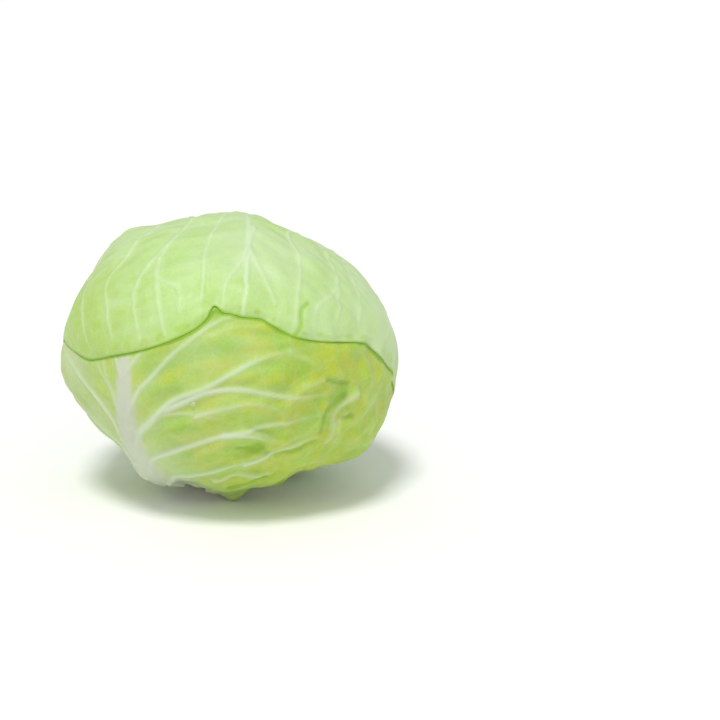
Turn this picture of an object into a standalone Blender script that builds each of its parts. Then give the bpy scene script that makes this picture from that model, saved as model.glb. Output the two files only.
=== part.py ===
"""Green cabbage head: a cut stem, a dense heart, and the five outermost leaves wrapped round it.

Metres, +Z up. The head rests on z = 0 with its stem end low at the front left, so its own axis
leans. The head frame has the stem pole at the bottom of its axis and the crown at the top. A
place on the head is an azimuth, 0 at the front (-Y) and 90 at the right (+X), and a polar angle,
0 at the stem pole, 90 at the widest girth and 180 at the crown, both in degrees.
"""

import math

import bmesh
import bpy
import numpy as np
from mathutils import Matrix, Vector

# Driving dimensions of the head
HEAD_RADIUS = 0.094  # half the width at the girth
HEAD_HALF_HEIGHT = 0.078  # from the middle to the stem pole, and to the crown
FLATTENING = 0.0022  # how far the head's own weight presses its underside flat
MIDDLE = (-0.00061, -0.00203)  # of the head, seen from above, which centres the leaves on the origin
LEAN = math.radians(16.7)  # of the head's axis from upright
LEAN_HEADING = math.radians(39.9)  # of the crown's lean, from +X towards +Y

# Broad swellings and hollows of the whole head: azimuth, polar angle, height, spread in degrees
LUMPS = (
    (0, 0, -0.0035, 13),
    (-84, 102, -0.0066, 14),
    (-84, 128, 0.0026, 8),
    (-84, 146, -0.0058, 12),
    (86, 164, -0.0034, 13),
    (83, 74, 0.0040, 14),
    (88, 105, 0.0010, 20),
    (74, 42, -0.0085, 14),
    (90, 31, -0.0060, 10),
    (100, 46, -0.0032, 9),
    (59, 26, -0.0038, 4.5),
    (-16, 15, -0.0032, 7),
    (-66, 38, -0.0024, 7),
    (-76, 65, -0.0016, 7),
    (-11, 157, 0.0014, 14),
    (71, 111, 0.0013, 10),
)

# Leaves: their blades, and how they are packed on each other
BLADE = 0.0009  # thickness of the thin part of a leaf
LAYER_PITCH = 0.0039  # from one leaf's outer face to the next
BASE_PITCH = 0.0012  # added to the pitch round the stem, where leaves are thick
BASE_SPREAD = 24  # degrees from the stem pole over which that fades
BASE_BLADE = 0.0010  # added to the blade round the stem
FREE_RIB = 0.0013  # height of an inner midrib that fits in the gap between two leaves
FLOOR_GAP = 0.0004  # of a leaf that nothing covers, above the floor
MIN_BLADE = 0.0008  # thickness where a leaf lies on the floor

# Midrib: half width and height over the blade, each a lasting part and one that fades upwards
MIDRIB_HALF_WIDTH = 0.0020
MIDRIB_BASE_HALF_WIDTH = 0.0110
MIDRIB_WIDTH_FADE = 36  # degrees
MIDRIB_HEIGHT = 0.0007
MIDRIB_BASE_HEIGHT = 0.0046
MIDRIB_HEIGHT_FADE = 34  # degrees
DRAPE = 2.0  # width of the fold over an inner midrib, in widths of that midrib

# Side veins, and the swollen blade between them
FIRST_VEIN, LAST_VEIN = 0.10, 0.90  # shares of the leaf's length
VEIN_FLANK = 0.016  # half a vein's width, as a share of the leaf's length
VEIN_HEIGHT = 0.0012
SWELLING = 0.0005
WAVES = 6  # along each margin of a leaf
CURL_START = 0.70  # share of the way out to the margin where it begins to wave and curl
LAUNCH_ANGLE = math.radians(42)  # between the midrib and a side vein
LAUNCH_FADE = 0.12  # share of the leaf over which the base's square launch turns into that
TIP_FADE = 0.06  # the same, towards the tip

# Stem
STEM_RADIUS = 0.0146
STEM_CUT = 0.0742  # from the head's middle to the cut face
STEM_BEVEL = 0.0010
STEM_SIDES = 32
JOINT_GAP = 0.0005  # between the stem and what grows from it

# Fineness
MIDRIB_COLUMNS = 2  # from the midrib's crest to its edge
MARGIN_SAMPLES = 160
ROW_SAMPLES = 48
HEART_SEGMENTS, HEART_RINGS = 36, 20

BASE_WRAP = 56  # degrees of the stem that a leaf's base clasps on each side of its midrib

# Each leaf, from the outermost in. Its azimuth is its midrib's, about 140 degrees round from the
# last one's. Margins run from the base to the tip, as places on the head:
# left and right are the leaf's own, seen from outside with its tip up. spread is how strongly the
# side veins fan out of the leaf's lower part, veins how many it has on each side, and columns how
# finely a side is divided. A curl lifts a stretch of the margin off the head.
LEAVES = (
    {
        "name": "cap_leaf",
        "azimuth": 180,
        "veins": 7,
        "columns": 9,
        "tip": 251,
        "spread": 1.35,
        "left": (
            (108, 22), (102, 35), (98, 48), (94, 64), (92, 80), (84, 92), (70, 99),
            (61, 102), (47, 105), (32, 105), (22, 105),
        ),
        "right": (
            (-122, 36), (-112, 58), (-98, 76), (-80, 84), (-65, 83), (-53, 81),
            (-42, 84), (-29, 88), (-18, 94),
        ),
        "wave": 0.0012,
        "curls": (("right", 1.0, 0.05, 0.0022),),
        "bulges": (),
    },
    {
        "name": "front_leaf",
        "azimuth": -33,
        "veins": 8,
        "columns": 10,
        "tip": 154,
        "spread": 2.0,
        "left": ((-106, 34), (-122, 60), (-126, 88), (-118, 112), (-104, 134), (-72, 152)),
        "right": (
            (34, 14), (50, 19), (60, 28), (66, 40), (74, 54),
            (92, 74), (98, 98), (90, 120), (62, 142), (10, 156),
        ),
        "wave": 0.0009,
        "curls": (("right", 0.08, 0.05, 0.0060), ("right", 0.17, 0.03, 0.0020)),
        "bulges": ((-78, 71, 0.0048, 12), (-54, 27, 0.0046, 11)),
    },
    {
        "name": "right_leaf",
        "azimuth": 104,
        "veins": 6,
        "columns": 8,
        "tip": 150,
        "spread": 1.8,
        "left": ((38, 36), (22, 64), (20, 92), (34, 120), (72, 144)),
        "right": ((172, 36), (188, 64), (190, 92), (176, 120), (144, 144)),
        "wave": 0,
        "curls": (),
        "bulges": (),
    },
    {
        "name": "left_leaf",
        "azimuth": -116,
        "veins": 6,
        "columns": 7,
        "tip": 148,
        "spread": 1.8,
        "left": ((-180, 36), (-194, 64), (-196, 92), (-184, 120), (-148, 144)),
        "right": ((-48, 36), (-32, 64), (-30, 92), (-44, 120), (-80, 144)),
        "wave": 0,
        "curls": (),
        "bulges": (),
    },
    {
        "name": "inner_leaf",
        "azimuth": 24,
        "veins": 6,
        "columns": 7,
        "tip": 146,
        "spread": 1.8,
        "left": ((-40, 36), (-54, 64), (-56, 92), (-44, 120), (-8, 144)),
        "right": ((88, 36), (102, 64), (104, 92), (92, 120), (60, 144)),
        "wave": 0,
        "curls": (),
        "bulges": (),
    },
)

COLOURS = {
    "cap_leaf": (0.58, 0.79, 0.43),
    "leaf": (0.50, 0.69, 0.20),
    "heart": (0.80, 0.86, 0.56),
    "stem": (0.80, 0.80, 0.62),
}


def clear_scene():
    for obj in list(bpy.data.objects):
        bpy.data.objects.remove(obj)


def unit(vectors):
    return vectors / np.linalg.norm(vectors, axis=-1, keepdims=True)


def direction(azimuth, polar):
    """Unit vector in the head frame for a place on the head."""
    a, p = np.radians(azimuth), np.radians(polar)
    return np.stack([np.sin(p) * np.sin(a), -np.sin(p) * np.cos(a), -np.cos(p) + 0 * a], axis=-1)


def angle_from(directions, place):
    """Degrees between directions and a place on the head."""
    return np.degrees(np.arccos(np.clip(directions @ direction(*place), -1, 1)))


def envelope(directions):
    """Distance from the head's middle to the outermost leaf's outer face, ribs left out."""
    height = directions[..., 2]
    radius = 1 / np.sqrt((1 - height**2) / HEAD_RADIUS**2 + (height / HEAD_HALF_HEIGHT) ** 2)
    for azimuth, polar, rise, spread in LUMPS:
        radius = radius + rise * np.exp(-((angle_from(directions, (azimuth, polar)) / spread) ** 2))
    return radius


def near_stem(directions):
    """1 at the stem pole, fading to 0 away from it."""
    return np.exp(-((angle_from(directions, (0, 0)) / BASE_SPREAD) ** 2))


def pitch(directions):
    return LAYER_PITCH + BASE_PITCH * near_stem(directions)


def blade(directions):
    return BLADE + BASE_BLADE * near_stem(directions)


def midrib_half_width(along):
    return MIDRIB_HALF_WIDTH + MIDRIB_BASE_HALF_WIDTH * np.exp(-along / MIDRIB_WIDTH_FADE)


def midrib_height(along):
    return MIDRIB_HEIGHT + MIDRIB_BASE_HEIGHT * np.exp(-along / MIDRIB_HEIGHT_FADE)


def along_and_across(directions, azimuth):
    """Degrees along the great circle of a leaf's midrib, and radians to its side."""
    outwards = direction(azimuth, 90)
    sideways = np.cross([0, 0, 1], outwards)
    along = np.degrees(np.arctan2(directions @ outwards, -directions[..., 2])) % 360
    return along, np.arcsin(np.clip(directions @ sideways, -1, 1))


def drape(directions, layer):
    """How far the leaf of this layer is lifted by the midribs of the leaves inside it."""
    lift = 0 * directions[..., 0]
    for inner in range(layer + 1, len(LEAVES)):
        along, across = along_and_across(directions, LEAVES[inner]["azimuth"])
        width = DRAPE * midrib_half_width(along)
        shape = np.exp(-((across * HEAD_RADIUS / width) ** 2))
        fading = np.clip((LEAVES[inner]["tip"] + 12 - along) / 24, 0, 1)
        lift = lift + np.maximum(midrib_height(along) - FREE_RIB, 0) * shape * fading
    return lift


def bulge(directions, layer):
    """How far the leaf of this layer bulges with the loose leaves at and inside it."""
    rise = 0 * directions[..., 0]
    for leaf in LEAVES[layer:]:
        for azimuth, polar, height, spread in leaf["bulges"]:
            rise = rise + height * np.exp(-((angle_from(directions, (azimuth, polar)) / spread) ** 2))
    return rise


def head_centre():
    """The head's middle: its lowest point would be FLATTENING under the floor."""
    drop = math.hypot(HEAD_RADIUS * math.sin(LEAN), HEAD_HALF_HEIGHT * math.cos(LEAN))
    return np.array([*MIDDLE, drop - FLATTENING])


def head_turn():
    """Rotation from the head frame to the world."""
    axis = Vector((-math.sin(LEAN_HEADING), math.cos(LEAN_HEADING), 0))
    return np.array(Matrix.Rotation(LEAN, 3, axis))


def to_world(points):
    return points @ head_turn().T + head_centre()


def layer_radius(directions, layer):
    """Distance from the head's middle to a leaf's outer face, its own ribs left out."""
    packed = envelope(directions) - layer * pitch(directions)
    return packed + drape(directions, layer) + bulge(directions, layer)


def heart_radius(directions):
    return envelope(directions) - len(LEAVES) * pitch(directions)


def smooth_path(places):
    """Evenly spaced unit vectors along a smooth curve over the head through these places."""
    knots = np.array([direction(*place) for place in places])
    padded = np.concatenate([2 * knots[:1] - knots[1:2], knots, 2 * knots[-1:] - knots[-2:-1]])
    t = np.linspace(0, len(knots) - 1, 24 * len(knots))
    span = np.minimum(t.astype(int), len(knots) - 2)
    s = (t - span)[:, None]
    a, b, c, d = (padded[span + k] for k in range(4))
    cubic = (c - a) * s + (2 * a - 5 * b + 4 * c - d) * s**2 + (3 * b - a - 3 * c + d) * s**3
    curve = b + 0.5 * cubic
    return evenly(unit(curve), MARGIN_SAMPLES)


def evenly(points, count):
    """The same path with its points a like distance apart."""
    steps = np.linalg.norm(np.diff(points, axis=0), axis=1)
    length = np.concatenate([[0], np.cumsum(steps)])
    wanted = np.linspace(0, length[-1], count)
    return unit(np.stack([np.interp(wanted, length, points[:, k]) for k in range(3)], axis=1))


def at_share(path, share):
    """The point a share of the way along an evenly spaced path."""
    place = share * (len(path) - 1)
    low = min(int(place), len(path) - 2)
    return unit(path[low] + (place - low) * (path[low + 1] - path[low]))


def side_row(start, heading, end):
    """A vein's line over the head: leaves start along heading and bends smoothly to end."""
    reach = 0.5 * math.acos(max(-1.0, min(1.0, float(start @ end))))
    control = start * math.cos(reach) + heading * math.sin(reach)
    t = np.linspace(0, 1, ROW_SAMPLES)[:, None]
    return evenly(unit((1 - t) ** 2 * start + 2 * t * (1 - t) * control + t**2 * end), ROW_SAMPLES)


def row_shares(veins):
    """Rows of a leaf's mesh, base to tip: each vein's crest and flanks, and the blade between."""
    crests = np.linspace(FIRST_VEIN, LAST_VEIN, veins)
    between = (crests[:-1] + crests[1:]) / 2
    ends = [0, FIRST_VEIN / 2, (1 + LAST_VEIN) / 2, 1]
    return np.sort(np.concatenate([ends, crests - VEIN_FLANK, crests, crests + VEIN_FLANK, between]))


def ridge(share, veins):
    """Height of the side veins and of the swelling between them, for a row of the leaf."""
    crests = np.linspace(FIRST_VEIN, LAST_VEIN, veins)
    nearest = np.min(np.abs(crests - share))
    spacing = (LAST_VEIN - FIRST_VEIN) / (veins - 1)
    vein = VEIN_HEIGHT * max(0, 1 - nearest / VEIN_FLANK)
    inside = FIRST_VEIN < share < LAST_VEIN
    return vein, SWELLING * math.sin(math.pi * min(1, nearest / spacing)) if inside else 0


def leaf_base_polar(layer):
    """Polar angle at which a leaf's base meets the side of the stem."""
    pole = np.array([0, 0, -1.0])
    inner_face = float(envelope(pole) - layer * pitch(pole) - blade(pole))
    return math.degrees(math.asin((STEM_RADIUS + JOINT_GAP) / inner_face))


def curl(leaf, side, share, out):
    """How far the margin is lifted off the head at a share of the leaf, and a share outwards."""
    lift = leaf["wave"] * math.sin(math.pi * WAVES * share) ** 2
    for where, centre, spread, rise in leaf["curls"]:
        if where == side:
            lift += rise * math.exp(-(((share - centre) / spread) ** 2))
    return lift * max(0, (out - CURL_START) / (1 - CURL_START)) ** 2


def leaf_points(layer):
    """A leaf's outer and inner faces, each as rows of columns of points."""
    leaf = LEAVES[layer]
    azimuth = leaf["azimuth"]
    base = leaf_base_polar(layer)
    turn = {"left": -1, "right": 1}
    margins = {
        side: smooth_path([(azimuth + turn[side] * BASE_WRAP, base), *leaf[side]]) for side in turn
    }
    shares = row_shares(leaf["veins"])
    columns = leaf["columns"] + MIDRIB_COLUMNS
    smooth = np.zeros((len(shares), 2 * columns + 1, 3))
    relief = np.zeros(smooth.shape[:2])
    lifted = np.zeros(smooth.shape[:2])
    for i, share in enumerate(shares):
        along = base + (leaf["tip"] - base) * share ** leaf["spread"]
        start = midrib_direction(azimuth, along)
        forward = midrib_direction(azimuth, along + 90)
        vein, swelling = ridge(share, leaf["veins"])
        for side, sign in turn.items():
            sideways = sign * np.cross([0, 0, 1], direction(azimuth, 90))
            square = math.exp(-((share / LAUNCH_FADE) ** 2)) + math.exp(-(((1 - share) / TIP_FADE) ** 2))
            launch = LAUNCH_ANGLE + (math.pi / 2 - LAUNCH_ANGLE) * square
            heading = math.cos(launch) * forward + math.sin(launch) * sideways
            row = side_row(start, heading, at_share(margins[side], share))
            length = HEAD_RADIUS * math.acos(max(-1.0, min(1.0, float(row[0] @ row[-1]))))
            edge = min(0.45, midrib_half_width(along) / max(length, 1e-6) / math.sin(launch))
            outs = np.concatenate([
                edge * np.arange(MIDRIB_COLUMNS) / MIDRIB_COLUMNS,
                edge + (1 - edge) * np.linspace(0, 1, leaf["columns"] + 1),
            ])
            for j, out in enumerate(outs):
                column = columns + sign * j
                smooth[i, column] = at_share(row, out)
                rib = midrib_height(along) * math.cos(math.pi / 2 * min(1, out / edge)) ** 1.2
                fade = min(1, max(0, (1 - out) / 0.15))
                beyond = max(0, min(1, (out - edge) / 0.1))
                relief[i, column] = rib + (vein * (1 - 0.6 * out) + swelling) * fade * beyond
                lifted[i, column] = curl(leaf, side, share, out)
    radius = layer_radius(smooth, layer) + lifted
    world = to_world(smooth * radius[..., None])
    inner = to_world(smooth * (radius - blade(smooth))[..., None])
    outer = world + relief[..., None] * outward_normals(world)
    floor = np.maximum(FLOOR_GAP * min(layer, 1), layer * pitch(smooth) - bulge(smooth, layer) - lifted)
    outer[..., 2] = np.maximum(outer[..., 2], floor)
    inner[..., 2] = np.maximum(inner[..., 2], floor + MIN_BLADE)
    return outer, inner


def midrib_direction(azimuth, along):
    """Unit vector on the great circle of a midrib, this many degrees from the stem pole."""
    a = math.radians(along)
    return direction(azimuth, 90) * math.sin(a) - np.array([0, 0, 1]) * math.cos(a)


def outward_normals(grid):
    """Unit normals of a rows by columns grid, pointing away from the head."""
    normals = unit(np.cross(np.gradient(grid, axis=1), np.gradient(grid, axis=0)))
    facing = np.sum(normals * (grid - head_centre()), axis=-1, keepdims=True)
    return normals * np.sign(facing)


def new_object(name, shape, colour, roughness):
    mesh = bpy.data.meshes.new(name)
    shape.to_mesh(mesh)
    shape.free()
    mesh.shade_smooth()
    material = bpy.data.materials.new(name)
    material.use_nodes = True
    finish = material.node_tree.nodes["Principled BSDF"].inputs
    finish["Base Color"].default_value = (*colour, 1)
    finish["Roughness"].default_value = roughness
    finish["Metallic"].default_value = 0
    mesh.materials.append(material)
    obj = bpy.data.objects.new(name, mesh)
    bpy.context.scene.collection.objects.link(obj)
    return obj


def make_leaf(layer):
    """A leaf: its two faces, split into triangles alike, and the thin edge that joins them."""
    faces = leaf_points(layer)
    rows, columns = faces[0].shape[:2]
    shape = bmesh.new()
    outer, inner = [[[shape.verts.new(point) for point in row] for row in face] for face in faces]
    for i in range(rows - 1):
        for j in range(columns - 1):
            for grid, way in ((outer, 1), (inner, -1)):
                a, b, c, d = grid[i][j], grid[i][j + 1], grid[i + 1][j + 1], grid[i + 1][j]
                halves = ((a, b, c), (a, c, d)) if j < columns // 2 else ((a, b, d), (b, c, d))
                for half in halves:
                    shape.faces.new(half[::way])
    rim = [(0, j) for j in range(columns)] + [(i, columns - 1) for i in range(1, rows)]
    rim += [(rows - 1, j) for j in range(columns - 2, -1, -1)]
    rim += [(i, 0) for i in range(rows - 2, 0, -1)]
    for (i, j), (k, m) in zip(rim, rim[1:] + rim[:1]):
        shape.faces.new((outer[k][m], outer[i][j], inner[i][j], inner[k][m]))
    return new_object(LEAVES[layer]["name"], shape, COLOURS["leaf" if layer else "cap_leaf"], 0.45)


def make_heart():
    """The packed inner leaves as one dense body, with the ribs of the outermost of them."""
    shape = bmesh.new()
    bmesh.ops.create_uvsphere(shape, u_segments=HEART_SEGMENTS, v_segments=HEART_RINGS, radius=1)
    for vertex in shape.verts:
        way = np.array(vertex.co.normalized())
        place = to_world(way * heart_radius(way))
        place[2] = max(place[2], len(LEAVES) * float(pitch(way)))
        vertex.co = place
    return new_object("heart", shape, COLOURS["heart"], 0.5)


def make_stem():
    """The cut stem: a plug from the heart's underside to the cut face."""
    under = direction(0, np.linspace(0, 25, 26))
    top = float(np.max(-under[:, 2] * heart_radius(under))) + JOINT_GAP
    length = STEM_CUT - top
    shape = bmesh.new()
    bmesh.ops.create_cone(
        shape, cap_ends=True, segments=STEM_SIDES,
        radius1=STEM_RADIUS, radius2=STEM_RADIUS, depth=length,
    )
    rim = [edge for edge in shape.edges if all(v.co.z < 0 for v in edge.verts)]
    bmesh.ops.bevel(shape, geom=rim, offset=STEM_BEVEL, segments=2, affect="EDGES")
    for vertex in shape.verts:
        vertex.co = to_world(np.array(vertex.co) - [0, 0, top + length / 2])
    stem = new_object("stem", shape, COLOURS["stem"], 0.7)
    stem.data.set_sharp_from_angle(angle=math.radians(40))
    return stem


def main():
    clear_scene()
    make_stem()
    make_heart()
    for layer in range(len(LEAVES)):
        make_leaf(layer)


main()
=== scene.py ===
# %% [markdown]
# # A green cabbage, leaf by leaf
#
# A cabbage is a short stem with leaves wrapped round it in a spiral. From outside only two of them
# show: a cap leaf that comes up the back and hangs over the crown, and the leaf under it, whose
# broad pale midrib runs up the front. The CAD model gives each leaf's place and size. Here each one
# gets its veins, its puckers and its waxy skin.

# %% Load the fixed frame
import math
import bmesh
import bpy
import numpy as np
from mathutils import Euler, Matrix, Vector


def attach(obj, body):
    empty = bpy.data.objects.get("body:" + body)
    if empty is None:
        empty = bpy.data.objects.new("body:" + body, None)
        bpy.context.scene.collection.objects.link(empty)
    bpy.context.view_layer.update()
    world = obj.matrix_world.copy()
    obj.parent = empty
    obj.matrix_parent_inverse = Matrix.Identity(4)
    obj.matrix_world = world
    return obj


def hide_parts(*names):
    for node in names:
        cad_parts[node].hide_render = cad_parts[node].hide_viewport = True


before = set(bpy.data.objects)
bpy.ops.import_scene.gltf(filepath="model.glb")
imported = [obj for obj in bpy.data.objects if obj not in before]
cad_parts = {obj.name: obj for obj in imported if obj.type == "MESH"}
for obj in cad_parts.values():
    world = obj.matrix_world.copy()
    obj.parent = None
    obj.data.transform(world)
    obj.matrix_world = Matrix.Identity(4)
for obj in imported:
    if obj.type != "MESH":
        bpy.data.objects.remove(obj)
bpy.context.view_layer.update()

# %% [markdown]
# ## The head as one smooth form
#
# A firm head is a flattened ball with a few broad swellings. It could be sculpted by hand, but
# then no leaf would know where the next one is. Here one formula gives the distance from the
# middle in every direction, and every leaf is that ball, a few millimetres further in.

# %% The ball that all the leaves follow
HEAD_RADIUS, HEAD_HALF_HEIGHT = 0.094, 0.078
MIDDLE, FLATTENING = (-0.00061, -0.00203), 0.0022
LEAN, LEAN_HEADING = math.radians(16.7), math.radians(39.9)
LUMPS = (  # azimuth, polar angle, height, spread in degrees
    (0, 0, -0.0035, 13), (-84, 102, -0.0066, 14), (-84, 128, 0.0026, 8), (-84, 146, -0.0058, 12),
    (86, 164, -0.0034, 13), (83, 74, 0.0040, 14), (88, 105, 0.0010, 20), (74, 42, -0.0085, 14),
    (90, 31, -0.0060, 10), (100, 46, -0.0032, 9), (59, 26, -0.0038, 4.5), (-16, 15, -0.0032, 7),
    (-66, 38, -0.0024, 7), (-76, 65, -0.0016, 7), (-11, 157, 0.0014, 14), (71, 111, 0.0013, 10),
)


def unit(vectors):
    return vectors / np.linalg.norm(vectors, axis=-1, keepdims=True)


def bell(offset, width):
    """1 where the offset is 0, fading to 0 past this width."""
    return np.exp(-((offset / width) ** 2))


def direction(azimuth, polar):
    """Unit vector to a place on the head: azimuth 0 at the front, polar angle 0 at the stem."""
    a, p = np.radians(azimuth), np.radians(polar)
    return np.stack([np.sin(p) * np.sin(a), -np.sin(p) * np.cos(a), -np.cos(p) + 0 * a], axis=-1)


def bump(ways, place, spread):
    """1 at a place on the head, fading to 0 over this many degrees."""
    angle = np.degrees(np.arccos(np.clip(ways @ direction(*place), -1, 1)))
    return bell(angle, spread)


def ball(ways):
    height = ways[..., 2]
    radius = 1 / np.sqrt((1 - height**2) / HEAD_RADIUS**2 + (height / HEAD_HALF_HEIGHT) ** 2)
    return radius + sum(rise * bump(ways, (a, p), spread) for a, p, rise, spread in LUMPS)


DROP = math.hypot(HEAD_RADIUS * math.sin(LEAN), HEAD_HALF_HEIGHT * math.cos(LEAN)) - FLATTENING
CENTRE = np.array([*MIDDLE, DROP])
AXIS = Vector((-math.sin(LEAN_HEADING), math.cos(LEAN_HEADING), 0))
TURN = np.array(Matrix.Rotation(LEAN, 3, AXIS))


def to_world(points):
    return points @ TURN.T + CENTRE


print("middle of the head, mm", (1000 * CENTRE).round(1))

# %% [markdown]
# ## Where each leaf grows
#
# Each leaf starts at the stem about 140 degrees round from the last. Its margin is drawn as a
# smooth line through a few places on the head, read off the CAD model's own list and, for the cap,
# with the pointed notch that shows at the front.

# %% Margins of the five leaves
LEAVES = {
    "cap_leaf": dict(
        layer=0, azimuth=180, tip=252, fan=1.35,
        left=((108, 22), (102, 35), (98, 48), (94, 64), (92, 80), (83, 93), (72, 99.5), (65, 102),
              (56, 106), (46, 106), (36, 104.8), (27, 104.2), (22, 104.8)),
        right=((-122, 36), (-112, 58), (-98, 76), (-80, 83), (-62, 82), (-52, 81), (-46, 82),
               (-39, 84.5), (-27, 89), (-18, 94)),
        tip_left=((4, 107.9), (10.4, 108.6), (13.5, 107.4), (18, 106)),
        tip_right=((-3, 107.8), (-6.4, 109.0), (-7.6, 104.6), (-10, 100.7), (-13.8, 97.2)),
    ),
    "front_leaf": dict(
        layer=1, azimuth=-33, tip=154, fan=2.0, wrap_left=84, wrap_right=76,
        left=((-120, 20), (-126, 34), (-129, 60), (-128, 88), (-118, 112), (-104, 134), (-72, 152)),
        right=((49, 13.5), (55, 19), (60, 28), (66, 40), (74, 54), (92, 74), (98, 98), (90, 120),
               (62, 142), (10, 156)),
    ),
    "right_leaf": dict(
        layer=2, azimuth=104, tip=150, fan=1.8,
        left=((38, 36), (22, 64), (20, 92), (34, 120), (72, 144)),
        right=((172, 36), (188, 64), (190, 92), (176, 120), (144, 144)),
    ),
    "left_leaf": dict(
        layer=3, azimuth=-116, tip=148, fan=1.8,
        left=((-180, 36), (-194, 64), (-196, 92), (-184, 120), (-148, 144)),
        right=((-48, 36), (-32, 64), (-30, 92), (-44, 120), (-80, 144)),
    ),
    "inner_leaf": dict(
        layer=4, azimuth=24, tip=146, fan=1.8,
        left=((-40, 36), (-54, 64), (-56, 92), (-44, 120), (-8, 144)),
        right=((88, 36), (102, 64), (104, 92), (92, 120), (60, 144)),
    ),
}
print(len(LEAVES), "leaves")


# %% Places on a leaf
def along_across(ways, azimuth):
    """Degrees along a leaf's midrib from the stem, and degrees to its right."""
    outwards = direction(azimuth, 90)
    sideways = np.cross([0, 0, 1], outwards)
    along = np.degrees(np.arctan2(ways @ outwards, -ways[..., 2])) % 360
    return along, np.degrees(np.arcsin(np.clip(ways @ sideways, -1, 1)))


def leaf_place(azimuth, along, across):
    """The reverse: unit vectors for degrees along a leaf and to its right."""
    outwards = direction(azimuth, 90)
    sideways = np.cross([0, 0, 1], outwards)
    t, s = np.radians(along)[..., None], np.radians(across)[..., None]
    return np.cos(s) * (np.sin(t) * outwards - np.cos(t) * np.array([0, 0, 1])) + np.sin(s) * sideways


# %% Distance to each leaf's face
BULGES = ((-78, 71, 0.0048, 12), (-54, 27, 0.0046, 11), (84, 61, 0.0026, 9))  # of the loose front leaf
LAYER_PITCH = 0.0039  # from one leaf's face to the next
BASE_PITCH, BASE_SPREAD = 0.0012, 24  # more of it near the stem, over this many degrees
FREE_RIB, DRAPE = 0.0013, 2.0  # the height a rib needs before it lifts the next leaf, and how much wider


def rib_half_width(along):
    return 0.0020 + 0.0110 * np.exp(-along / 36)


def rib_height(along):
    return 0.0007 + 0.0046 * np.exp(-along / 34)


def shell(ways, layer):
    """Distance to a leaf's outer face, its own veins left out, but lifted by the ribs under it."""
    radius = ball(ways) - layer * (LAYER_PITCH + BASE_PITCH * bump(ways, (0, 0), BASE_SPREAD))
    for leaf in LEAVES.values():
        if leaf["layer"] > layer:
            along, across = along_across(ways, leaf["azimuth"])
            span = np.radians(across) * HEAD_RADIUS / (DRAPE * rib_half_width(along))
            fading = np.clip((leaf["tip"] + 12 - along) / 24, 0, 1)
            radius = radius + np.maximum(rib_height(along) - FREE_RIB, 0) * np.exp(-(span**2)) * fading
    if layer < 2:
        radius = radius + sum(rise * bump(ways, (a, p), spread) for a, p, rise, spread in BULGES)
    return radius


print("leaf faces over the front, mm", [round(1000 * float(shell(direction(0, 90), k)), 1) for k in range(5)])

# %% [markdown]
# ## A leaf's net of points
#
# A leaf could be cut from a sphere, but then its mesh would run across its veins. Here every row of
# points leaves the midrib as a side vein does, at a slant that bends towards the margin, so the
# mesh lies along the folds that it has to carry.

# %% Smooth lines on the head
def evenly(points, count):
    steps = np.linalg.norm(np.diff(points, axis=0), axis=1)
    length = np.concatenate([[0], np.cumsum(steps)])
    wanted = np.linspace(0, length[-1], count)
    return unit(np.stack([np.interp(wanted, length, points[:, k]) for k in range(3)], axis=1))


def smooth_path(knots, count=240):
    """Evenly spaced unit vectors along a smooth curve through these."""
    padded = np.concatenate([2 * knots[:1] - knots[1:2], knots, 2 * knots[-1:] - knots[-2:-1]])
    t = np.linspace(0, len(knots) - 1, 24 * len(knots))
    span = np.minimum(t.astype(int), len(knots) - 2)
    s = (t - span)[:, None]
    a, b, c, d = (padded[span + k] for k in range(4))
    cubic = (c - a) * s + (2 * a - 5 * b + 4 * c - d) * s**2 + (3 * b - a - 3 * c + d) * s**3
    return evenly(unit(b + 0.5 * cubic), count)


def at_shares(path, shares):
    """The points these shares of the way along an evenly spaced path."""
    place = shares * (len(path) - 1)
    low = np.minimum(place.astype(int), len(path) - 2)
    return unit(path[low] + (place - low)[:, None] * (path[low + 1] - path[low]))


# %% Rows that run as side veins do
SLANT = math.radians(42)
STEM_RADIUS, JOINT_GAP, BASE_THICKNESS = 0.0146, 0.0005, 0.0019
TIP_PULL = 0.86  # from this share on, rows turn to a tip that is drawn apart


def base_polar(layer):
    """The polar angle where a leaf meets the stem."""
    reach = float(ball(np.array([0, 0, -1.0]))) - layer * (LAYER_PITCH + BASE_PITCH) - BASE_THICKNESS
    return math.degrees(math.asin((STEM_RADIUS + JOINT_GAP) / reach))


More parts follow.
